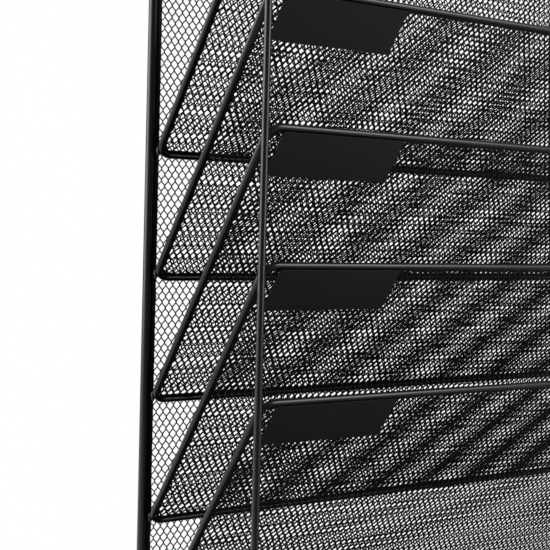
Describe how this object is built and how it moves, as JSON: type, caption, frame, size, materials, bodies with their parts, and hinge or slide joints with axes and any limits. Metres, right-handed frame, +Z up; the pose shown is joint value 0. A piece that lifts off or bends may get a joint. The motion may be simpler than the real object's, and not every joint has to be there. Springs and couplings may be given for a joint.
{
  "type": "slanted file sorter",
  "caption": "Desktop file sorter of black wire frames and expanded mesh, with stacked slanted pockets open to the front, small label plates and a flat bottom tray.",
  "frame": {"origin": "middle of the footprint, on the plane of the feet's soles", "axes": "+X to the user's right, -Y to the front where the pockets open, +Z up"},
  "size_m": [0.33, 0.1036, 0.453],
  "materials": {
    "wires": "satin black powder coat on round steel wire",
    "mesh": "satin black powder coat on expanded steel mesh",
    "plates": "satin black powder coat on flat sheet steel",
    "feet": "matt black"
  },
  "bodies": {
    "root": {"back_frame": "wires", "back_mesh": "mesh", "left_side_frame": "wires", "right_side_frame": "wires", "tray_frame": "wires", "tray_mesh": "mesh", "pocket_frame_1": "wires", "pocket_mesh_1": "mesh", "label_plate_1": "plates", "pocket_frame_2": "wires", "pocket_mesh_2": "mesh", "label_plate_2": "plates", "pocket_frame_3": "wires", "pocket_mesh_3": "mesh", "label_plate_3": "plates", "pocket_frame_4": "wires", "pocket_mesh_4": "mesh", "label_plate_4": "plates", "pocket_frame_5": "wires", "pocket_mesh_5": "mesh", "label_plate_5": "plates", "rubber_feet": "feet"}
  },
  "joints": []
}
